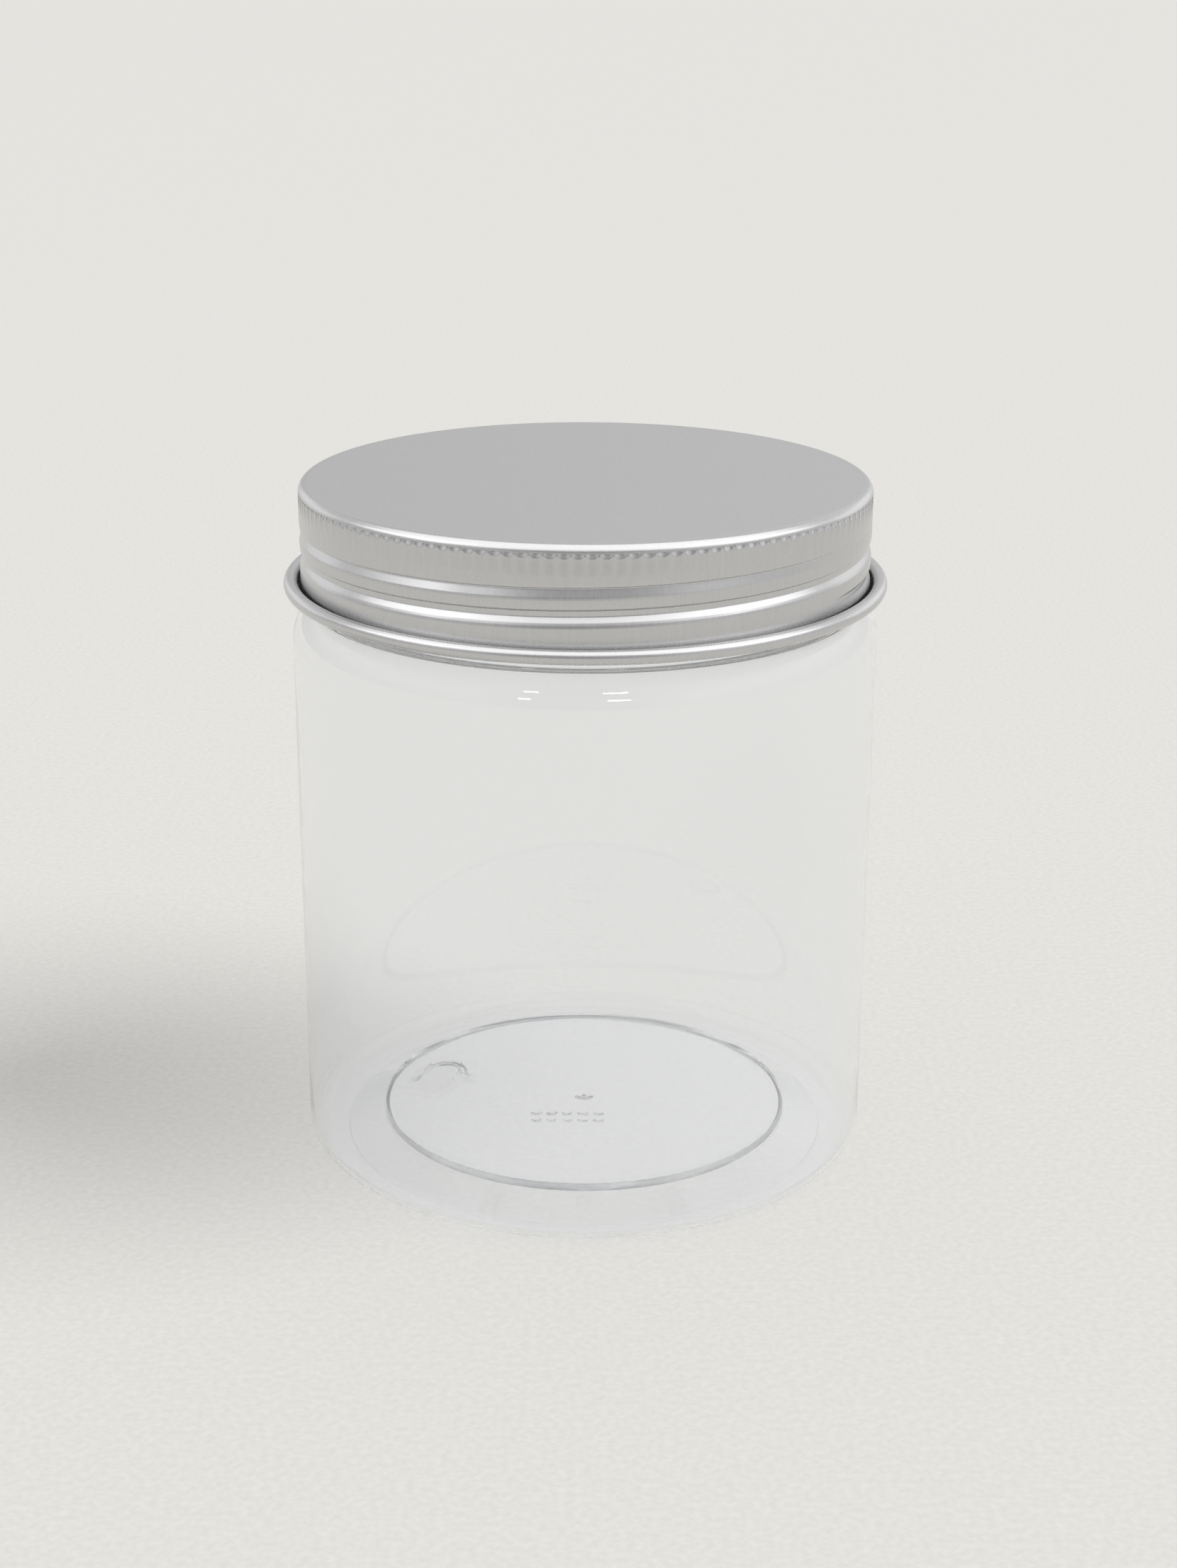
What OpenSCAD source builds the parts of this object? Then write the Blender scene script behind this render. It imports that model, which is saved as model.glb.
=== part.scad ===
// Wide-mouth clear plastic jar with a screw-on aluminium lid and a foam liner.
// Units are millimetres. The jar stands on z = 0 with its axis on Z, and the front is towards -Y.
// The thread is one right-hand start, so the lid rises as it turns anticlockwise seen from above.

/* [Jar] */
// Outside diameter of the wall just under the shoulder
body_d = 93.3; // [92.5:0.1:95]
// How much narrower the wall is at the heel, on the diameter
wall_draft = 0.5; // [0:0.1:1]
// Height of the sealing rim above the floor
rim_z = 109.2; // [100:0.1:130]
// Thickness of the blown wall
wall_t = 0.6; // [0.5:0.1:1]
// Height of the straight wall, where the shoulder starts
shoulder_z = 86; // [70:0.5:87]
// Radius of the shoulder
shoulder_r = 6.9; // [6.5:0.1:7.2]
// Radius of the heel
heel_r = 4; // [3:0.5:5]

/* [Neck] */
// Diameter of the neck between the threads
neck_d = 86.4; // [86:0.1:86.8]
// Diameter of the mouth
mouth_d = 83; // [80:0.5:84]
// Outside diameter of the screw thread
thread_d = 88.9; // [88.5:0.1:89.2]
// Rise of the thread in one turn
thread_lead = 4.2; // [4:0.1:5]
// Length of the jar's thread, in degrees of turn
thread_sweep = 580; // [400:10:600]

/* [Base] */
// Width of the ring that stands on the floor
foot_w = 2.8; // [2:0.1:4]
// Radius of the raised middle panel
panel_r = 33.6; // [30:0.1:35]
// Height of the panel's inner face above the floor
panel_z = 4.5; // [4:0.1:6]
// Thickness of the panel
panel_t = 1.5; // [1.3:0.1:1.7]
// Height of the small step around the panel
step_h = 1.5; // [0.8:0.1:1.6]
// Width of that step
step_w = 0.3; // [0.2:0.1:1]
// Thickness of the base outside the panel
base_t = 0.8; // [0.7:0.1:0.9]
// Radius of the round back of the moulded register ramp on the panel
ramp_r = 3.3; // [3:0.1:5]

/* [Lid] */
// Outside diameter of the skirt
lid_d = 90.4; // [90.2:0.1:91]
// Height of the lid from its top to the bottom of the bead
lid_h = 17.2; // [17:0.1:18]
// Thickness of the aluminium sheet
sheet_t = 0.4; // [0.35:0.05:0.45]
// Outside diameter of the rolled bead
bead_d = 95.8; // [95.6:0.1:97]
// Radius of the bead's curl
curl_r = 1.15; // [1:0.05:1.2]
// Radius of the edge between top and skirt
edge_r = 1.2; // [1:0.1:1.5]
// Number of flutes in the grip band
flute_n = 140; // [90:2:150]
// Depth of the flutes
flute_depth = 0.2; // [0.1:0.05:0.2]
// Depth of the rolled thread groove
groove_depth = 0.55; // [0.4:0.05:0.6]

/* [Liner] */
// Thickness of the foam disc
liner_t = 1.4; // [1:0.1:2]
// Diameter of the foam disc
liner_d = 87.6; // [84:0.1:87.6]

/* [Hidden] */
$fn = 128;

// Small free gaps above and below the liner, so that nothing overlaps as the lid turns
seal_gap = 0.05;
arc_steps = 12;         // points on each rounded corner of an outline
steps_per_turn = 60;    // sections in one turn of a thread
bury = 0.5;             // how far a thread's root reaches into its wall
eps = 0.05;

// Jar
body_r = body_d / 2;
heel_wall_r = body_r - wall_draft / 2;
neck_r = neck_d / 2;
mouth_r = mouth_d / 2;
foot_r = heel_wall_r - heel_r;
shoulder_x = body_r - shoulder_r;
shoulder_in_r = shoulder_r - wall_t;
neck_angle = acos((neck_r - shoulder_x) / shoulder_r);
mouth_angle = acos((mouth_r - shoulder_x) / shoulder_in_r);
inner_heel_r = heel_r - wall_t;
rim_round = 0.5;
skin_lean = 0.4;        // sideways shift between the base's inner and outer faces
under_step = 0.6;       // how far inside the panel's edge its underside steps down
gate_r = 1.3;
gate_h = 0.2;
ramp_h = 1.1;           // height of the ramp's back above the panel
ramp_l = 9;             // how far it runs out from the middle of its round back
ramp_pos = [-24, 8.5];
ramp_turn = -26;        // it rises anticlockwise round the jar's axis

// Support ledge below the thread, inside the lid's skirt
ledge_r = neck_r + 1.1;
ledge_z = 94.6;
ledge_h = 1.3;
ledge_slope = 0.9;

// Lid
lid_top_z = rim_z + 2 * seal_gap + liner_t + sheet_t;
lid_bottom_z = lid_top_z - lid_h;
lid_r = lid_d / 2;
lid_in_r = lid_r - sheet_t;
curl_x = bead_d / 2 - curl_r;
curl_z = lid_bottom_z + curl_r;
bend_x = lid_in_r + curl_r;
curl_end = 172;         // angle at which the curled edge stops, short of the skirt
flute_top = 1.4;        // depth of the flutes' upper ends below the lid's top
flute_length = 3.6;
flute_r = 0.8;

// Threads: height of the middle of a turn at the front, and the angles where each one starts.
// Angles count anticlockwise from the front.
groove_front_z = lid_top_z - 10;
groove_start = -305;
groove_sweep = 705;
groove_fade_in = 35;
groove_fade_out = 110;
thread_front_z = groove_front_z + 1.9;
thread_start = -330;
thread_fade = 30;
rib_h = 0.75;           // how far the lid's rib stands in from the skirt
front = -90;            // angle of the front seen from above

// Half-widths of each thread section above and below its middle, as [at the root, at the crest]
thread_half = [1.25, 0.4];
rib_up = [1.7, 0.5];
rib_down = [1.5, 0.5];
groove_up = [2.2, 0.1];
groove_down = [1.6, 0.3];

// Points on an arc about c, from angle a to angle b
function arc(c, r, a, b, n = arc_steps) =
    [for (i = [0:n]) c + r * [cos(a + (b - a) * i / n), sin(a + (b - a) * i / n)]];

// How much of its full height a thread has at angle a of its sweep, from 0 to 1
function fade(a, sweep, f_in, f_out) = max(0, min(1, a / f_in, (sweep - a) / f_out));

// Swept screw ridge. Each section is a four-sided outline: its root at radius r_root and its crest
// at radius r_crest, which draws back to r_flush where the ridge fades out.
// up and down are its half-widths above and below the middle.
module screw_ridge(r_root, r_crest, r_flush, up, down, front_z, start, sweep, f_in, f_out) {
    n = ceil(steps_per_turn * sweep / 360);
    points = [
        for (i = [0:n])
            let (a = sweep * i / n, turn = front + start + a,
                 crest = r_flush + (r_crest - r_flush) * fade(a, sweep, f_in, f_out),
                 z = front_z + thread_lead * (start + a) / 360)
            for (p = [[r_root, -down[0]], [crest, -down[1]], [crest, up[1]], [r_root, up[0]]])
                [p[0] * cos(turn), p[0] * sin(turn), z + p[1]]
    ];
    inward = r_crest < r_root;
    sides = [for (i = [0:n - 1], k = [0:3])
        let (a = 4 * i + k, b = 4 * i + (k + 1) % 4) [a, b, b + 4, a + 4]];
    ends = [[3, 2, 1, 0], [4 * n, 4 * n + 1, 4 * n + 2, 4 * n + 3]];
    faces = concat(sides, ends);
    polyhedron(points, inward ? [for (f = faces) [f[3], f[2], f[1], f[0]]] : faces);
}

// Inner face of the base, from the axis out to the foot
base_inner = [
    [0, panel_z],
    [panel_r, panel_z],
    [panel_r + step_w, panel_z - step_h],
    [foot_r - foot_w + skin_lean, base_t]
];

// Its underside: the thick panel, then the skin that slopes down to the foot
base_under = [
    [0, panel_z - panel_t],
    [panel_r - under_step, panel_z - panel_t],
    [panel_r + step_w - skin_lean, panel_z - step_h - base_t],
    [foot_r - foot_w, 0]
];

// Half section of the jar, from the axis under the base, up the outside and down the inside
jar_outline = concat(
    base_under,
    arc([foot_r, heel_r], heel_r, -90, 0),
    arc([shoulder_x, shoulder_z], shoulder_r, 0, neck_angle),
    [[neck_r, ledge_z - ledge_slope], [ledge_r, ledge_z], [ledge_r, ledge_z + ledge_h],
     [neck_r, ledge_z + ledge_h + ledge_slope]],
    arc([neck_r - rim_round, rim_z - rim_round], rim_round, 0, 90, 4),
    arc([mouth_r + rim_round, rim_z - rim_round], rim_round, 90, 180, 4),
    arc([shoulder_x, shoulder_z], shoulder_in_r, mouth_angle, 0),
    arc([heel_wall_r - wall_t - inner_heel_r, base_t + inner_heel_r], inner_heel_r, 0, -90),
    [for (i = [len(base_inner) - 1:-1:0]) base_inner[i]]
);

// Wedge with a round, steep back of radius r. From ramp_h above the height z there, it slopes down to
// z at the other end. It reaches depth below z.
module register_wedge(r, z, depth) {
    tilt = asin(ramp_h / (ramp_l + r));
    translate([ramp_pos[0], ramp_pos[1], z])
        rotate([0, 0, ramp_turn])
            intersection() {
                translate([0, 0, ramp_h - r * sin(tilt)])
                    rotate([tilt, 0, 0])
                        translate([0, 0, -ramp_l]) {
                            cylinder(r = r, h = ramp_l);
                            translate([-r, -ramp_l, 0]) cube([2 * r, ramp_l, ramp_l]);
                        }
                translate([-2 * r, -2 * ramp_l, -depth])
                    cube([4 * r, 4 * ramp_l, depth + 2 * ramp_h]);
            }
}

// Register ramp: raised inside, hollow underneath
module register_ramp() {
    register_wedge(ramp_r, panel_z, bury);
}

module register_hollow() {
    register_wedge(ramp_r - base_t / 2, panel_z - panel_t, eps);
}

// Small stub left by the injection gate under the middle of the base
module gate_stub() {
    translate([0, 0, panel_z - panel_t - gate_h]) cylinder(r = gate_r, h = gate_h + panel_t / 2);
}

module jar_thread() {
    screw_ridge(neck_r - bury, thread_d / 2, neck_r - eps,
                thread_half, thread_half,
                thread_front_z, thread_start, thread_sweep, thread_fade, thread_fade);
}

module jar() {
    color([0.86, 0.88, 0.88, 0.45])
        difference() {
            union() {
                rotate_extrude() polygon(jar_outline);
                jar_thread();
                register_ramp();
                gate_stub();
            }
            register_hollow();
        }
}

// Sector of a round ring, from angle a to angle b, drawn anticlockwise
module ring_sector(r_out, r_in, a, b) {
    polygon(concat(arc([0, 0], r_out, a, b), arc([0, 0], r_in, b, a)));
}

// Half section of the drawn shell: top, rounded edge and skirt
module shell_section() {
    polygon(concat(
        [[0, lid_top_z]],
        arc([lid_r - edge_r, lid_top_z - edge_r], edge_r, 90, 0),
        [[lid_r, curl_z], [lid_in_r, curl_z]],
        arc([lid_r - edge_r, lid_top_z - edge_r], edge_r - sheet_t, 0, 90),
        [[0, lid_top_z - sheet_t]]
    ));
}

// Half section of the bottom edge: the skirt bends out, runs under, and curls up and back in
module curl_section() {
    translate([bend_x, curl_z]) ring_sector(curl_r, curl_r - sheet_t, 180, 270);
    translate([bend_x, lid_bottom_z]) square([curl_x - bend_x, sheet_t]);
    translate([curl_x, curl_z]) ring_sector(curl_r, curl_r - sheet_t, -90, curl_end);
}

// Upright cutters for the grip band
module grip_flutes() {
    for (i = [0:flute_n - 1])
        rotate([0, 0, (i + 0.5) * 360 / flute_n])
            translate([lid_r + flute_r - flute_depth, 0, lid_top_z - flute_top - flute_length])
                cylinder(r = flute_r, h = flute_length, $fn = 24);
}

// Inward rib that the rolled groove makes on the inside of the skirt. It runs under the jar's thread.
module lid_rib() {
    screw_ridge(lid_in_r + sheet_t / 2, lid_in_r - rib_h, lid_in_r + eps,
                rib_up, rib_down,
                groove_front_z, groove_start, groove_sweep, groove_fade_in, groove_fade_out);
}

module lid_groove() {
    screw_ridge(lid_r + bury, lid_r - groove_depth, lid_r + eps,
                groove_up, groove_down,
                groove_front_z, groove_start, groove_sweep, groove_fade_in, groove_fade_out);
}

module lid_shell() {
    color([0.72, 0.72, 0.73])
        difference() {
            union() {
                rotate_extrude() {
                    shell_section();
                    curl_section();
                }
                lid_rib();
            }
            lid_groove();
            grip_flutes();
        }
}

// Foam disc that seals the lid on the rim
module liner() {
    color([0.96, 0.96, 0.95])
        translate([0, 0, rim_z + seal_gap]) cylinder(d = liner_d, h = liner_t);
}

jar();
lid_shell();
liner();
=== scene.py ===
"""Clear wide-mouth jar with a rolled aluminium screw lid and a foam liner, built around its CAD frame.

Lengths are in metres. MM turns the millimetre values below into metres.
Azimuth is measured anticlockwise from the front (-Y), seen from above, in degrees.
"""

import math

import bpy
import numpy as np
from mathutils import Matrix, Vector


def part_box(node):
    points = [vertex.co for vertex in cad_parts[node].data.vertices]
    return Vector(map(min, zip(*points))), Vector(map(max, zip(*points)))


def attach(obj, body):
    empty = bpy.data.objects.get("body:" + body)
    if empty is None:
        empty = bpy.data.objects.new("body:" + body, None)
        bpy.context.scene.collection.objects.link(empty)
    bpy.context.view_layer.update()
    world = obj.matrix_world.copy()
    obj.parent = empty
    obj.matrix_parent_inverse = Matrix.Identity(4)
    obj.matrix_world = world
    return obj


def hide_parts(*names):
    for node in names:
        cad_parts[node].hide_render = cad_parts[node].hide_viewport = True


MM = 0.001

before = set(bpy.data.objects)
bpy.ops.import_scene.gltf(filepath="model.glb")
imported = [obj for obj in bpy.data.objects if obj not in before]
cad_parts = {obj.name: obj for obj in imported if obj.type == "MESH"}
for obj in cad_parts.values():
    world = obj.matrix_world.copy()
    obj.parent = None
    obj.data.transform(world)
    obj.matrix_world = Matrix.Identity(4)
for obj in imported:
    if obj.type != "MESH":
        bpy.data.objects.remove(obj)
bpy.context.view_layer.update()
jar_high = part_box("jar")[1]
lid_low, lid_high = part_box("lid_shell")
liner_low, liner_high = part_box("liner")


# ---------------------------------------------------------------- outlines and rings

def arc(centre, radius, start, end, steps):
    """Points (r, z) on an arc, from one angle to another, in degrees."""
    angles = np.radians(np.linspace(start, end, steps + 1))
    return [(centre[0] + radius * math.cos(a), centre[1] + radius * math.sin(a)) for a in angles]


def line(start, end, steps):
    """Points (r, z) on a straight stretch, without its last one."""
    return [tuple(np.array(start) + (np.array(end) - np.array(start)) * i / steps) for i in range(steps)]


def rounded(corners, radius, steps=4):
    """The corners (r, z) of an open outline, each but the first and last rounded to a radius."""
    out = [corners[0]]
    for before, corner, after in zip(corners, corners[1:], corners[2:]):
        corner = np.array(corner)
        to_before = np.array(before) - corner
        to_after = np.array(after) - corner
        to_before /= np.linalg.norm(to_before)
        to_after /= np.linalg.norm(to_after)
        half = math.acos(max(-1.0, min(1.0, float(to_before @ to_after)))) / 2
        reach = radius / math.tan(half)
        for t in np.linspace(0, 1, steps + 1):
            point = corner + reach * ((1 - t) ** 2 * to_before + t ** 2 * to_after)
            out.append(tuple(point))
    return out + [corners[-1]]


def azimuths(count, gather=0.0, towards=0.0):
    """Azimuths of the columns of a mesh. gather draws them together round one azimuth."""
    even = np.arange(count) * 360.0 / count
    return even - gather * np.degrees(np.sin(np.radians(even - towards)))


def ring(radius, height, around):
    """A closed ring of points at the azimuths around. radius and height are numbers, or one for each."""
    a = np.radians(around)
    r = np.broadcast_to(radius, a.shape)
    z = np.broadcast_to(height, a.shape)
    return np.column_stack([r * np.sin(a), -r * np.cos(a), z])


def pole(height):
    return np.array([[0.0, 0.0, height]])


def faces_between(a, na, b, nb):
    """Faces joining ring a (first index, count) to ring b. The larger count is a multiple of the other."""
    if na == 1:
        return [[b + j, b + (j + 1) % nb, a] for j in range(nb)]
    if nb == 1:
        return [[a + j, a + (j + 1) % na, b] for j in range(na)]
    if na <= nb:
        k = nb // na
        return [
            [a + j, a + (j + 1) % na] + [b + (k * j + i) % nb for i in range(k, -1, -1)]
            for j in range(na)
        ]
    k = na // nb
    return [
        [a + (k * j + i) % na for i in range(k + 1)] + [b + (j + 1) % nb, b + j]
        for j in range(nb)
    ]


def solid_from_rings(name, rings):
    """A closed, smooth-shaded mesh skinned over the rings, in order. Its two ends are poles."""
    starts = np.cumsum([0] + [len(r) for r in rings])
    faces = []
    for i in range(len(rings) - 1):
        faces += faces_between(int(starts[i]), len(rings[i]), int(starts[i + 1]), len(rings[i + 1]))
    mesh = bpy.data.meshes.new(name)
    mesh.from_pydata(np.vstack(rings).tolist(), [], faces)
    mesh.shade_smooth()
    mesh.update()
    piece = bpy.data.objects.new(name, mesh)
    bpy.context.scene.collection.objects.link(piece)
    return piece


def smoothstep(t):
    t = np.clip(t, 0.0, 1.0)
    return t * t * (3 - 2 * t)


# ---------------------------------------------------------------- node materials

def new_material(name):
    """A material with a Principled shader. Returns the material, its tree and the shader."""
    material = bpy.data.materials.new(name)
    material.use_nodes = True
    tree = material.node_tree
    return material, tree, tree.nodes["Principled BSDF"]


def object_coordinates(tree, scale=(1, 1, 1)):
    """Object coordinates, stretched by scale."""
    source = tree.nodes.new("ShaderNodeTexCoord")
    mapping = tree.nodes.new("ShaderNodeMapping")
    mapping.inputs["Scale"].default_value = scale
    tree.links.new(source.outputs["Object"], mapping.inputs["Vector"])
    return mapping.outputs["Vector"]


def noise(tree, vector, scale, detail=3.0):
    node = tree.nodes.new("ShaderNodeTexNoise")
    node.inputs["Scale"].default_value = scale
    node.inputs["Detail"].default_value = detail
    tree.links.new(vector, node.inputs["Vector"])
    return node.outputs["Fac"]


def remap(tree, value, low, high, from_low=0.0, from_high=1.0):
    node = tree.nodes.new("ShaderNodeMapRange")
    node.inputs["From Min"].default_value = from_low
    node.inputs["From Max"].default_value = from_high
    node.inputs["To Min"].default_value = low
    node.inputs["To Max"].default_value = high
    tree.links.new(value, node.inputs["Value"])
    return node.outputs["Result"]


def ramp(tree, value, stops):
    """A colour ramp. stops are (position, colour) pairs."""
    node = tree.nodes.new("ShaderNodeValToRGB")
    elements = node.color_ramp.elements
    while len(elements) < len(stops):
        elements.new(0.5)
    for element, (position, colour) in zip(elements, stops):
        element.position = position
        element.color = (*colour, 1.0)
    tree.links.new(value, node.inputs["Fac"])
    return node.outputs["Color"]


def bump(tree, height, distance):
    node = tree.nodes.new("ShaderNodeBump")
    node.inputs["Distance"].default_value = distance
    tree.links.new(height, node.inputs["Height"])
    return node.outputs["Normal"]


# ---------------------------------------------------------------- jar

RIM_Z = jar_high.z
SHOULDER_WALL_R = jar_high.x        # outside of the wall under the shoulder
HEEL_WALL_R = SHOULDER_WALL_R - 0.25 * MM
WALL_T = 0.6 * MM
SHOULDER_Z = 86 * MM
SHOULDER_R = 6.9 * MM
HEEL_R = 4 * MM
NECK_R = 43.2 * MM
NECK_BEND = 1.8 * MM                # rounding between shoulder and neck, outside
MOUTH_R = 41.5 * MM
MOUTH_BEND = 1.6 * MM               # rounding between neck and shoulder, inside
RIM_ROUND = 0.5 * MM
LEDGE_R = 44.3 * MM
LEDGE_Z = 94.6 * MM
LEDGE_H = 1.3 * MM
LEDGE_SLOPE = 0.9 * MM
FOOT_W = 2.8 * MM
UNDER_ROUND = 0.25 * MM             # corners of the base's underside
OVER_ROUND = 0.1 * MM               # corners of the base's inner face
BASE_T = 0.8 * MM
PANEL_R = 33.6 * MM
PANEL_RIM = 2 * MM                  # width of the plain rim inside the panel's edge
PANEL_Z = 4.5 * MM
PANEL_T = 1.5 * MM
STEP_W = 0.3 * MM
STEP_H = 1.5 * MM
SKIN_LEAN = 0.4 * MM
UNDER_STEP = 0.6 * MM               # how far inside the panel's edge its underside steps down
GATE_R = 1.3 * MM
GATE_H = 0.2 * MM
GATE_EDGE = 1.2 * MM
RAMP_R = 3.3 * MM
RAMP_L = 9 * MM
RAMP_H = 1.1 * MM
RAMP_AT = (-24 * MM, 8.5 * MM)
RAMP_TURN = math.radians(-26)
RAMP_EDGE = 0.9 * MM
RAMP_SKIN = 0.4 * MM                # how much smaller the ramp's back is on the underside
RAMP_RINGS = 24

THREAD_R = 44.45 * MM
THREAD_LEAD = 4.2 * MM
THREAD_FRONT_Z = 103.0 * MM
THREAD_START = -330
THREAD_SWEEP = 580
THREAD_FADE = 30
THREAD_ROOT_HALF = 1.25 * MM
THREAD_CREST_HALF = 0.4 * MM

MARK_AT = (-2.8 * MM, -8.0 * MM)
DOT_R = 0.8 * MM
DOT_H = 0.3 * MM
DOT_PITCH = 2.6 * MM
DOT_ROWS = 2
DOTS_IN_ROW = 5
MARK_REACH = 15 * MM                # the underside has close rings out to here
MARK_RING = 0.32 * MM

JAR_AROUND = azimuths(320, 0.4, math.degrees(math.atan2(RAMP_AT[0], -RAMP_AT[1])))
NECK_AROUND = JAR_AROUND[::2]
MIDDLE_R = 5 * MM                   # rings nearer the middle than this have fewer columns
NECK_FROM_Z = LEDGE_Z + 3 * MM      # rings higher than this have fewer columns too
WALL_STEPS = 7


def jar_thread_height(azimuth, z):
    """How far the screw thread stands out of the neck at each azimuth, at height z."""
    out = np.zeros_like(azimuth)
    for turn in (-1, 0, 1):
        a = azimuth + 360 * turn
        along = a - THREAD_START
        fade = np.clip(np.minimum(along, THREAD_SWEEP - along) / THREAD_FADE, 0, 1)
        middle = THREAD_FRONT_Z + THREAD_LEAD * a / 360
        flank = (THREAD_ROOT_HALF - np.abs(z - middle)) / (THREAD_ROOT_HALF - THREAD_CREST_HALF)
        out = np.maximum(out, (THREAD_R - NECK_R) * smoothstep(fade) * smoothstep(flank))
    return out


def ramp_height(x, y, radius):
    """The register ramp: it rises along its length to a round, steep back of that radius."""
    dx, dy = x - RAMP_AT[0], y - RAMP_AT[1]
    across = dx * math.cos(RAMP_TURN) + dy * math.sin(RAMP_TURN)
    along = dy * math.cos(RAMP_TURN) - dx * math.sin(RAMP_TURN)
    inside = radius - np.hypot(across, np.maximum(along, 0))
    rise = np.clip((along + RAMP_L) / (RAMP_L + radius), 0, 1)
    return RAMP_H * rise * smoothstep(inside / RAMP_EDGE + 0.5)


def ramp_reach(end):
    """Radii of the panel's rings from beyond the mark out to end, close together across the ramp."""
    middle = math.hypot(*RAMP_AT)
    span = RAMP_R + RAMP_EDGE / 2
    return [17 * MM, 19 * MM, *np.linspace(middle - span, middle + span, RAMP_RINGS), end]


def mark_height(x, y):
    """Two short rows of round dots moulded under the base."""
    out = np.zeros_like(x)
    for row in range(DOT_ROWS):
        for i in range(DOTS_IN_ROW):
            dx = x - MARK_AT[0] - (i - (DOTS_IN_ROW - 1) / 2) * DOT_PITCH
            dy = y - MARK_AT[1] - (row - (DOT_ROWS - 1) / 2) * DOT_PITCH
            out = np.maximum(out, DOT_H * np.sqrt(np.clip(1 - (dx ** 2 + dy ** 2) / DOT_R ** 2, 0, 1)))
    return out


def base_section():
    """Inner face of the base from the middle out: panel edge, step and the slope down to the foot."""
    foot_inner = HEEL_WALL_R - HEEL_R - FOOT_W
    return [
        (PANEL_R, PANEL_Z),
        (PANEL_R + STEP_W, PANEL_Z - STEP_H),
        (foot_inner + SKIN_LEAN, BASE_T),
    ]


def jar_outline():
    """Half section of the jar without its panel: (r, z) from under the panel's edge round to its top."""
    foot_r = HEEL_WALL_R - HEEL_R
    neck_angle = math.degrees(math.acos((NECK_R - SHOULDER_WALL_R + SHOULDER_R) / SHOULDER_R))
    shoulder_x = SHOULDER_WALL_R - SHOULDER_R
    inner_r = SHOULDER_R - WALL_T
    mouth_angle = math.degrees(math.acos((MOUTH_R - shoulder_x) / inner_r))
    inner_heel_r = HEEL_R - WALL_T

    under = [(r - SKIN_LEAN, z - BASE_T) for r, z in base_section()]
    under[0] = (PANEL_R - UNDER_STEP, PANEL_Z - PANEL_T)
    under = [(under[0][0] - PANEL_RIM, under[0][1])] + under + [(foot_r, 0.0)]
    under = rounded(under, UNDER_ROUND)
    over = base_section()
    over = [(foot_r, BASE_T)] + over[::-1] + [(over[0][0] - PANEL_RIM, over[0][1])]
    over = rounded(over, OVER_ROUND)

    neck_foot = arc((shoulder_x, SHOULDER_Z), SHOULDER_R, 0, neck_angle, 16)
    foot_bend = rounded([neck_foot[-5], neck_foot[-1], (NECK_R, LEDGE_Z - LEDGE_SLOPE)], NECK_BEND, 6)
    neck_foot[-4:] = foot_bend[1:-1]
    ledge = rounded(
        [
            neck_foot[-1],
            (NECK_R, LEDGE_Z - LEDGE_SLOPE),
            (LEDGE_R, LEDGE_Z),
            (LEDGE_R, LEDGE_Z + LEDGE_H),
            (NECK_R, LEDGE_Z + LEDGE_H + LEDGE_SLOPE),
            (NECK_R, LEDGE_Z + LEDGE_H + LEDGE_SLOPE + 0.6 * MM),
        ],
        0.2 * MM,
        3,
    )
    neck_top = RIM_Z - RIM_ROUND
    inner_shoulder = arc((shoulder_x, SHOULDER_Z), inner_r, mouth_angle, 0, 16)
    inner_bend = rounded([(MOUTH_R, neck_top), inner_shoulder[0], inner_shoulder[4]], MOUTH_BEND, 6)
    return (
        under[:-1]
        + arc((foot_r, HEEL_R), HEEL_R, -90, 0, 50)
        + line((HEEL_WALL_R, HEEL_R), (SHOULDER_WALL_R, SHOULDER_Z), WALL_STEPS)[1:]
        + neck_foot[:-1]
        + ledge[:-1]
        + line(ledge[-1], (NECK_R, neck_top), 46)
        + arc((NECK_R - RIM_ROUND, neck_top), RIM_ROUND, 0, 90, 5)
        + arc((MOUTH_R + RIM_ROUND, neck_top), RIM_ROUND, 90, 180, 5)
        + line((MOUTH_R, neck_top), inner_bend[1], 4)[1:]
        + inner_bend[1:-1]
        + inner_shoulder[4:]
        + line((SHOULDER_WALL_R - WALL_T, SHOULDER_Z), (HEEL_WALL_R - WALL_T, HEEL_R), WALL_STEPS)[1:]
        + arc((foot_r, HEEL_R), inner_heel_r, 0, -90, 30)
        + over[1:]
    )


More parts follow.
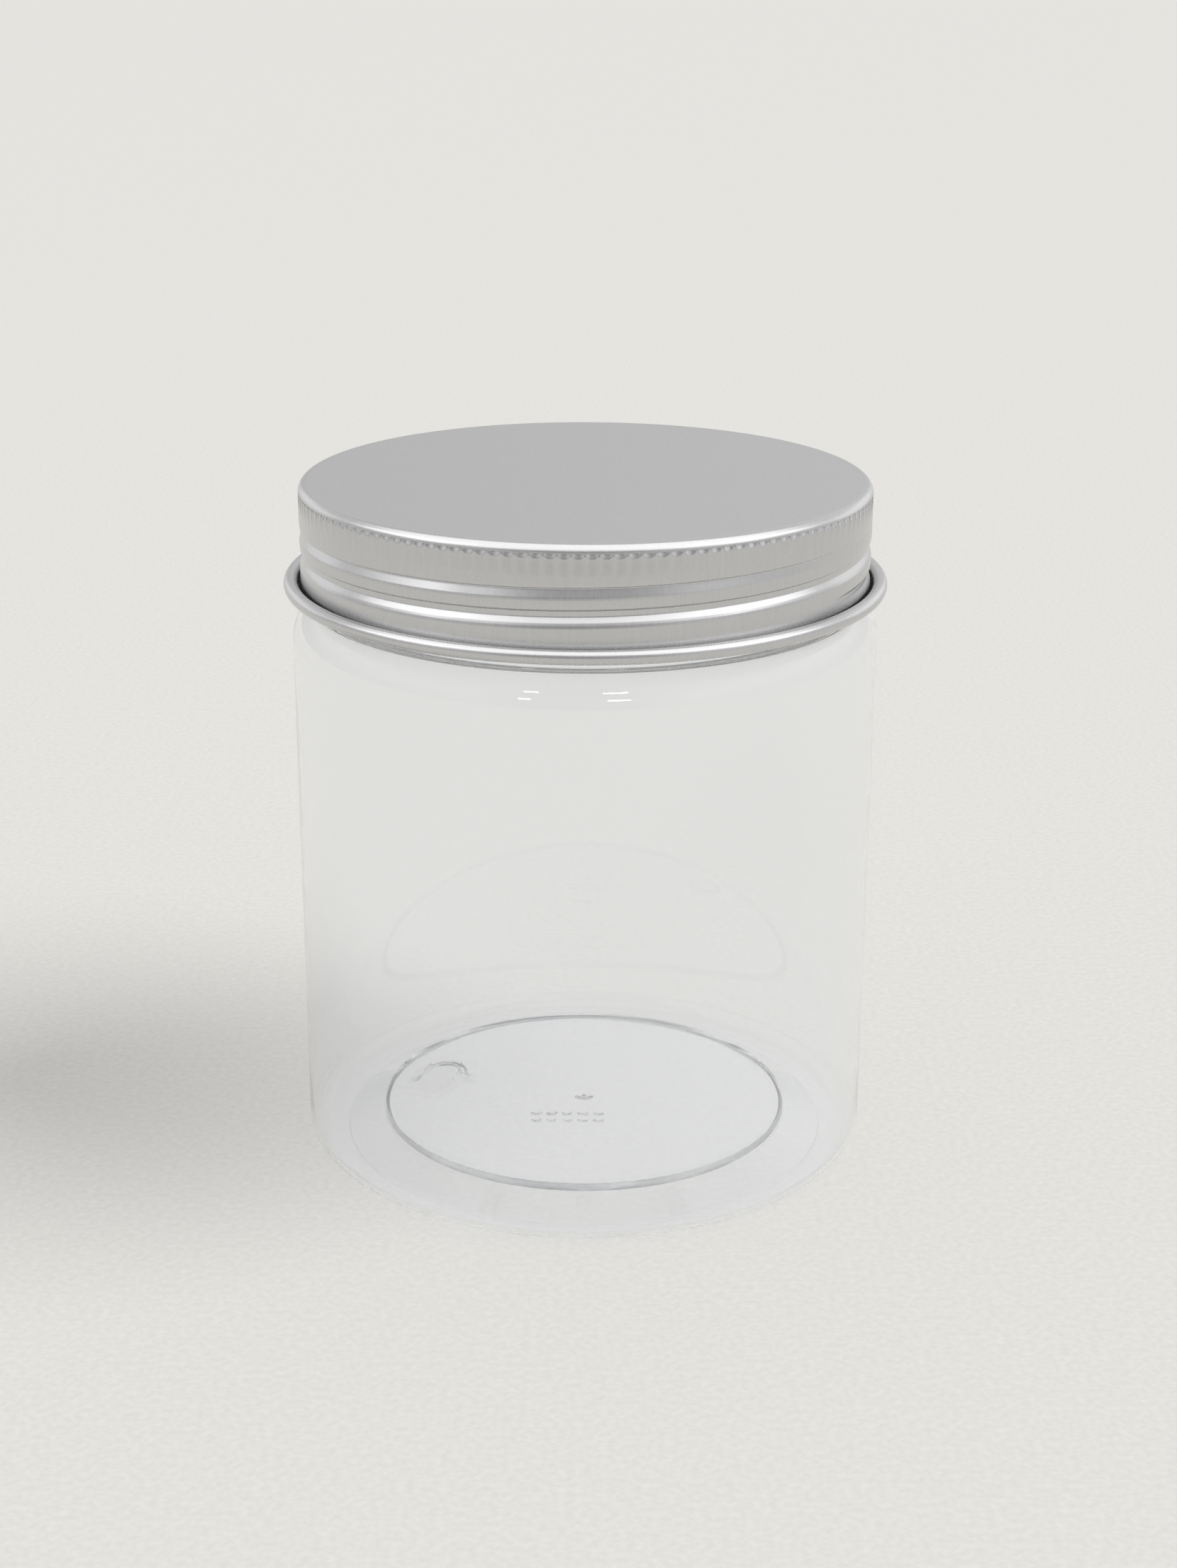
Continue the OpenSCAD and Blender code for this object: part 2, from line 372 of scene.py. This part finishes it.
def jar_rings():
    """The jar's rings: underside with gate, mark and ramp, outside, inside, then the panel's top."""
    under_z = PANEL_Z - PANEL_T
    rings = [pole(under_z - GATE_H)]
    for r in np.arange(MARK_RING, MARK_REACH, MARK_RING):
        around = NECK_AROUND if r < MIDDLE_R else JAR_AROUND
        flat = ring(r, 0.0, around)
        stub = GATE_H * smoothstep((GATE_R - r) / GATE_EDGE + 0.5)
        z = under_z - stub - mark_height(flat[:, 0], flat[:, 1])
        rings.append(ring(r, z, around))
    for r in ramp_reach(PANEL_R - UNDER_STEP - 1.2 * PANEL_RIM):
        flat = ring(r, 0.0, JAR_AROUND)
        z = under_z + ramp_height(flat[:, 0], flat[:, 1], RAMP_R - RAMP_SKIN)
        rings.append(ring(r, z, JAR_AROUND))
    for r, z in jar_outline():
        around = NECK_AROUND if z > NECK_FROM_Z else JAR_AROUND
        stand = 0.0
        if abs(r - NECK_R) < 1e-6 and z > LEDGE_Z:
            stand = jar_thread_height(around, z)
        rings.append(ring(r + stand, z, around))
    for r in ramp_reach(PANEL_R - 1.2 * PANEL_RIM)[::-1]:
        flat = ring(r, 0.0, JAR_AROUND)
        z = PANEL_Z + ramp_height(flat[:, 0], flat[:, 1], RAMP_R)
        rings.append(ring(r, z, JAR_AROUND))
    for r in np.linspace(MARK_REACH, 1 * MM, 6):
        rings.append(ring(r, PANEL_Z, NECK_AROUND))
    rings.append(pole(PANEL_Z))
    return rings


def clear_pet():
    """Clear blown PET: gloss with faint flow marks. Lamps reach the floor through it."""
    material, tree, shader = new_material("clear_pet")
    shader.inputs["Base Color"].default_value = (0.98, 0.987, 0.997, 1)
    shader.inputs["Transmission Weight"].default_value = 0.98
    shader.inputs["IOR"].default_value = 1.5
    place = object_coordinates(tree, (1, 1, 0.35))
    haze = noise(tree, place, 60, 2.0)
    tree.links.new(remap(tree, haze, 0.01, 0.05, 0.35, 0.8), shader.inputs["Roughness"])
    flow = noise(tree, place, 35, 1.0)
    tree.links.new(bump(tree, flow, 0.02 * MM), shader.inputs["Normal"])

    path = tree.nodes.new("ShaderNodeLightPath")
    passing = tree.nodes.new("ShaderNodeBsdfTransparent")
    passing.inputs["Color"].default_value = (0.985, 0.988, 0.992, 1)
    surface = shader.outputs["BSDF"]
    for kind in ("Is Shadow Ray", "Is Diffuse Ray"):
        mix = tree.nodes.new("ShaderNodeMixShader")
        tree.links.new(path.outputs[kind], mix.inputs["Fac"])
        tree.links.new(surface, mix.inputs[1])
        tree.links.new(passing.outputs["BSDF"], mix.inputs[2])
        surface = mix.outputs["Shader"]
    tree.links.new(surface, tree.nodes["Material Output"].inputs["Surface"])
    return material


jar = solid_from_rings("jar_body", jar_rings())
jar.data.materials.append(clear_pet())
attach(jar, "jar")
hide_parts("jar")


# ---------------------------------------------------------------- lid

LID_TOP_Z = lid_high.z
LID_BOTTOM_Z = lid_low.z
BEAD_R = lid_high.x                 # outside of the rolled bead
SHEET_T = 0.4 * MM
SKIRT_R = 45.2 * MM
EDGE_R = 1.45 * MM
EDGE_END = 12                       # lean of the rounded edge, in degrees, where the grip begins
CURL_R = 1.15 * MM
CURL_END = 172                      # angle at which the curled bead stops, short of the skirt

FLUTES = 140
FLUTE_SAMPLES = 8
FLUTE_TOP = 1.16 * MM
FLUTE_STEP = 0.16 * MM
FLUTE_BOTTOM = 4.6 * MM
FLUTE_DEPTH = 0.17 * MM             # of a flute along its length
FLUTE_CLOSING = 2.3 * MM            # length over which a flute closes again
HOLLOW_DEPTH = 0.32 * MM            # of the hollow at its upper end, on top of that
HOLLOW_END = 2.1 * MM               # where the hollow stops, in the middle of a flute
HOLLOW_ARCH = 0.75 * MM             # how much higher it stops at the flute's sides
LID_AROUND = azimuths(2 * FLUTES)
LID_INNER_AROUND = azimuths(FLUTES)
GRIP_AROUND = azimuths(FLUTES * FLUTE_SAMPLES)

GROOVE_FRONT_Z = LID_TOP_Z - 10.1 * MM
# Depth of the rolled groove along its run, as (azimuth, depth)
GROOVE_RUN = [(-305, 0.0), (-270, 0.75), (270, 0.75), (330, 0.6), (360, 0.5), (400, 0.3), (440, 0.0)]
# Section of the groove, as (height over its middle, share of its depth): a short, steep upper flank
# and a long lower one. Towards the end of its run it narrows to a notch with the same lower flank.
GROOVE_OPEN = [
    (-2.2, 0.0), (-1.8, 0.1), (-1.4, 0.34), (-0.95, 0.7), (-0.6, 0.97), (-0.45, 1.0),
    (0.3, 0.92), (0.6, 0.13), (1.1, 0.05), (1.6, 0.0),
]
GROOVE_NOTCH = [
    (-2.2, 0.0), (-1.8, 0.1), (-0.75, 0.9), (-0.6, 1.0), (-0.48, 0.95), (-0.3, 0.08), (0.2, 0.0),
]
NOTCH_FROM = 175
NOTCH_BY = 300
OUTER_RINGS = 128
INNER_RINGS = 72


def flute_cut(azimuth, depth):
    """How deep the grip flutes press in at each azimuth, at a depth below the lid's top."""
    across = np.abs((azimuth * FLUTES / 360) % 1 - 0.5) * 2
    lobe = np.cos(across ** 2 * math.pi / 2)
    opened = smoothstep((depth - FLUTE_TOP) / FLUTE_STEP)
    closed = np.clip((FLUTE_BOTTOM - depth) / FLUTE_CLOSING, 0, 1)
    end = HOLLOW_END - HOLLOW_ARCH * across ** 2
    hollow = np.clip((end - depth) / (end - FLUTE_TOP), 0, 1)
    return opened * lobe * (FLUTE_DEPTH * closed + HOLLOW_DEPTH * hollow)


def groove_cut(azimuth, z):
    """How deep the rolled thread groove presses in at each azimuth, at height z."""
    along, depths = np.array(GROOVE_RUN).T
    open_z, open_share = np.array(GROOVE_OPEN).T
    notch_z, notch_share = np.array(GROOVE_NOTCH).T
    out = np.zeros_like(azimuth)
    for turn in (-1, 0, 1):
        a = azimuth + 360 * turn
        depth = np.interp(a, along, depths, 0, 0) * MM
        over = (z - GROOVE_FRONT_Z - THREAD_LEAD * a / 360) / MM
        narrow = smoothstep((a - NOTCH_FROM) / (NOTCH_BY - NOTCH_FROM))
        share = (1 - narrow) * np.interp(over, open_z, open_share, 0, 0)
        share += narrow * np.interp(over, notch_z, notch_share, 0, 0)
        out = np.maximum(out, depth * share)
    return out


def lid_rings():
    """The lid's rings: inside from the middle down, the curled bead, then the outside up to the middle."""
    curl_x = BEAD_R - CURL_R
    curl_z = LID_BOTTOM_Z + CURL_R
    bend_x = SKIRT_R - SHEET_T + CURL_R
    edge = (SKIRT_R - EDGE_R * math.cos(math.radians(EDGE_END)), LID_TOP_Z - EDGE_R)

    inner_top_z = LID_TOP_Z - SHEET_T
    inner = [(r, inner_top_z) for r in np.linspace(8 * MM, edge[0] - 1 * MM, 4)]
    inner += arc(edge, EDGE_R - SHEET_T, 90, 15, 5)
    rings = [pole(inner_top_z)]
    rings += [ring(r, z, LID_INNER_AROUND) for r, z in inner]
    for z in np.linspace(edge[1] - 0.1 * MM, curl_z + 0.3 * MM, INNER_RINGS):
        press = groove_cut(LID_INNER_AROUND, z)
        rings.append(ring(SKIRT_R - SHEET_T - press, z, LID_INNER_AROUND))
    rings += [ring(r, z, LID_INNER_AROUND) for r, z in arc((bend_x, curl_z), CURL_R, 180, 270, 6)]
    curl = (
        arc((curl_x, curl_z), CURL_R, -90, CURL_END, 22)
        + arc((curl_x, curl_z), CURL_R - SHEET_T, CURL_END, -90, 12)
        + arc((bend_x, curl_z), CURL_R - SHEET_T, 270, 180, 5)
    )
    rings += [ring(r, z, LID_AROUND) for r, z in curl]

    plain_z = LID_TOP_Z - FLUTE_BOTTOM - 0.2 * MM
    for z in np.linspace(curl_z + 0.25 * MM, plain_z, OUTER_RINGS):
        rings.append(ring(SKIRT_R - groove_cut(LID_AROUND, z), z, LID_AROUND))
    grip_depths = np.concatenate([np.linspace(4.7, 2.4, 7), np.linspace(2.15, 1.17, 16)]) * MM
    for depth in grip_depths:
        rings.append(ring(SKIRT_R - flute_cut(GRIP_AROUND, depth), LID_TOP_Z - depth, GRIP_AROUND))
    rings += [ring(r, z, LID_AROUND) for r, z in arc(edge, EDGE_R, EDGE_END, 90, 9)]
    rings += [ring(r, LID_TOP_Z, LID_AROUND) for r in np.linspace(edge[0] - 0.4 * MM, 4 * MM, 10)]
    rings.append(pole(LID_TOP_Z))
    return rings


def satin_aluminium():
    """Lacquered aluminium: satin, with a fine grain that is drawn out up and down the skirt."""
    material, tree, shader = new_material("satin_aluminium")
    shader.inputs["Metallic"].default_value = 1.0
    grain = noise(tree, object_coordinates(tree, (1, 1, 0.08)), 2200, 2.0)
    colour = ramp(tree, grain, [(0.3, (0.57, 0.57, 0.573)), (0.7, (0.595, 0.595, 0.598))])
    tree.links.new(colour, shader.inputs["Base Color"])
    tree.links.new(remap(tree, grain, 0.265, 0.285, 0.3, 0.7), shader.inputs["Roughness"])
    tree.links.new(bump(tree, grain, 0.001 * MM), shader.inputs["Normal"])
    return material


lid = solid_from_rings("lid_cap", lid_rings())
lid.data.materials.append(satin_aluminium())
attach(lid, "lid")
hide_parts("lid_shell")


# ---------------------------------------------------------------- liner

LINER_AROUND = azimuths(192)
IMPRINT_R = (MOUTH_R + NECK_R) / 2
IMPRINT_HALF = 1.0 * MM
IMPRINT_DEPTH = 0.12 * MM
LINER_ROUND = 0.25 * MM


def liner_rings():
    bottom, top, outer = liner_low.z, liner_high.z, liner_high.x
    rings = [pole(bottom)]
    for r in np.concatenate([np.linspace(4, 40, 10), np.linspace(40.5, 43.5, 13)]) * MM:
        press = IMPRINT_DEPTH * smoothstep(1.4 - abs(r - IMPRINT_R) / IMPRINT_HALF)
        rings.append(ring(r, bottom + press, LINER_AROUND))
    rim = outer - LINER_ROUND
    outline = arc((rim, bottom + LINER_ROUND), LINER_ROUND, -90, 0, 4)
    outline += arc((rim, top - LINER_ROUND), LINER_ROUND, 0, 90, 4)
    rings += [ring(r, z, LINER_AROUND) for r, z in outline]
    rings += [ring(r, top, LINER_AROUND) for r in np.linspace(rim - 1 * MM, 4 * MM, 8)]
    rings.append(pole(top))
    return rings


def white_foam():
    """White closed-cell foam with fine cells."""
    material, tree, shader = new_material("white_foam")
    cells = tree.nodes.new("ShaderNodeTexVoronoi")
    cells.inputs["Scale"].default_value = 2200
    tree.links.new(object_coordinates(tree), cells.inputs["Vector"])
    shade = ramp(tree, cells.outputs["Distance"], [(0.1, (0.93, 0.93, 0.92)), (0.8, (0.86, 0.86, 0.84))])
    tree.links.new(shade, shader.inputs["Base Color"])
    patch = noise(tree, object_coordinates(tree), 300)
    tree.links.new(remap(tree, patch, 0.6, 0.8), shader.inputs["Roughness"])
    tree.links.new(bump(tree, cells.outputs["Distance"], 0.06 * MM), shader.inputs["Normal"])
    return material


liner = solid_from_rings("foam_liner", liner_rings())
liner.data.materials.append(white_foam())
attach(liner, "liner")
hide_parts("liner")


# ---------------------------------------------------------------- floor, lights and camera

def pale_floor():
    """Pale warm floor with a very faint speckle."""
    material, tree, shader = new_material("pale_floor")
    shader.inputs["Roughness"].default_value = 0.9
    shader.inputs["Specular IOR Level"].default_value = 0.2
    speckle = noise(tree, object_coordinates(tree), 900, 2.0)
    shade = ramp(tree, speckle, [(0.3, (0.80, 0.785, 0.745)), (0.7, (0.86, 0.845, 0.805))])
    tree.links.new(shade, shader.inputs["Base Color"])
    return material


FLOOR_HALF = 6.0
FLOOR_Z = -0.03 * MM                # just under the foot, so that the two faces don't coincide
VIEWER_EL = math.radians(24)
VIEWER = (0.0, -math.cos(VIEWER_EL), math.sin(VIEWER_EL))
BOUNCES = 32
GLINT_RADIANCE = 16

floor_mesh = bpy.data.meshes.new("floor")
corners = [(-1, -1), (1, -1), (1, 1), (-1, 1)]
floor_mesh.from_pydata([(x * FLOOR_HALF, y * FLOOR_HALF, FLOOR_Z) for x, y in corners], [], [(0, 1, 2, 3)])
floor = bpy.data.objects.new("floor", floor_mesh)
floor_mesh.materials.append(pale_floor())
bpy.context.scene.collection.objects.link(floor)


def softbox(name, azimuth, elevation, distance, size, radiance):
    """A rectangular lamp aimed at the middle of the jar. radiance is how bright its face is."""
    lamp = bpy.data.lights.new(name, "AREA")
    lamp.shape = "RECTANGLE"
    lamp.size, lamp.size_y = size
    lamp.energy = radiance * math.pi * size[0] * size[1]
    holder = bpy.data.objects.new(name, lamp)
    bpy.context.scene.collection.objects.link(holder)
    a, e = math.radians(azimuth), math.radians(elevation)
    direction = np.array([math.sin(a) * math.cos(e), -math.cos(a) * math.cos(e), math.sin(e)])
    target = np.array([0, 0, RIM_Z / 2])
    holder.location = target + direction * distance
    holder.rotation_euler = (math.radians(90 - elevation), 0, a)
    return holder


def lights_only(lamp, piece):
    """Make a lamp light one piece alone, and only as a reflection."""
    lamp.visible_diffuse = False
    lit = bpy.data.collections.new(lamp.name)
    lit.objects.link(piece)
    lamp.light_linking.receiver_collection = lit


def studio_world():
    """Soft white surroundings, brightest some way above the horizon, with a dim patch for the viewer."""
    world = bpy.data.worlds.new("studio")
    world.use_nodes = True
    tree = world.node_tree
    source = tree.nodes.new("ShaderNodeTexCoord")
    split = tree.nodes.new("ShaderNodeSeparateXYZ")
    tree.links.new(source.outputs["Generated"], split.inputs["Vector"])
    upwards = ramp(tree, split.outputs["Z"], [
        (0.0, (0.64, 0.64, 0.64)),
        (0.15, (0.61, 0.61, 0.615)),
        (0.3, (0.74, 0.74, 0.745)),
        (0.44, (0.83, 0.83, 0.84)),
        (0.75, (0.60, 0.60, 0.605)),
        (1.0, (0.52, 0.52, 0.525)),
    ])
    sideways = remap(tree, split.outputs["X"], 0.91, 1.09, -0.3, 0.3)
    towards = tree.nodes.new("ShaderNodeVectorMath")
    towards.operation = "DOT_PRODUCT"
    towards.inputs[1].default_value = VIEWER
    tree.links.new(source.outputs["Generated"], towards.inputs[0])
    viewer = remap(tree, towards.outputs["Value"], 1.0, 0.55, 0.75, 0.95)
    strength = tree.nodes.new("ShaderNodeMath")
    strength.operation = "MULTIPLY"
    tree.links.new(sideways, strength.inputs[0])
    tree.links.new(viewer, strength.inputs[1])
    background = tree.nodes["Background"]
    tree.links.new(upwards, background.inputs["Color"])
    tree.links.new(strength.outputs["Value"], background.inputs["Strength"])
    bpy.context.scene.world = world


studio_world()

# The sun casts the soft shadow, and isn't seen in the shiny pieces
key = bpy.data.lights.new("key", "SUN")
key.energy = 1.5
key.angle = math.radians(35)
key_holder = bpy.data.objects.new("key", key)
key_holder.rotation_euler = (math.radians(90 - 46), 0, math.radians(81))
key_holder.visible_glossy = False
key_holder.visible_transmission = False
bpy.context.scene.collection.objects.link(key_holder)

# Panels over, beside and behind the lid for its bright edges, and small lamps for the jar's glints
lights_only(softbox("ceiling", 0, 80, 1.1, (2.2, 1.9), 1.08), lid)
for side in (-1, 1):
    lights_only(softbox("side_panel", 80 * side, 36, 1.1, (0.8, 0.4), 1.2), lid)
    lights_only(softbox("back_panel", 135 * side, 14, 1.1, (0.8, 0.4), 0.45), lid)
for elevation in (24, 41):
    for azimuth, width in ((-23, 0.08), (13, 0.14)):
        glint = softbox("glint", azimuth, elevation, 1.0, (width, 0.05), GLINT_RADIANCE)
        glint.visible_transmission = False
        lights_only(glint, jar)

# Light that is led along the clear walls is reflected many times before it leaves them
cycles = bpy.context.scene.cycles
cycles.max_bounces = BOUNCES
cycles.glossy_bounces = BOUNCES
cycles.transmission_bounces = BOUNCES

camera_data = bpy.data.cameras.new("camera")
camera_data.lens = 61.58
camera_data.sensor_width = 36
camera_data.clip_start = 0.01
camera = bpy.data.objects.new("camera", camera_data)
camera.location = (0.00017, -0.41564, 0.2023)
camera.rotation_euler = (math.pi / 2 - 0.330, -0.003, 0)
bpy.context.scene.collection.objects.link(camera)
bpy.context.scene.camera = camera
bpy.context.scene.view_settings.view_transform = "Standard"
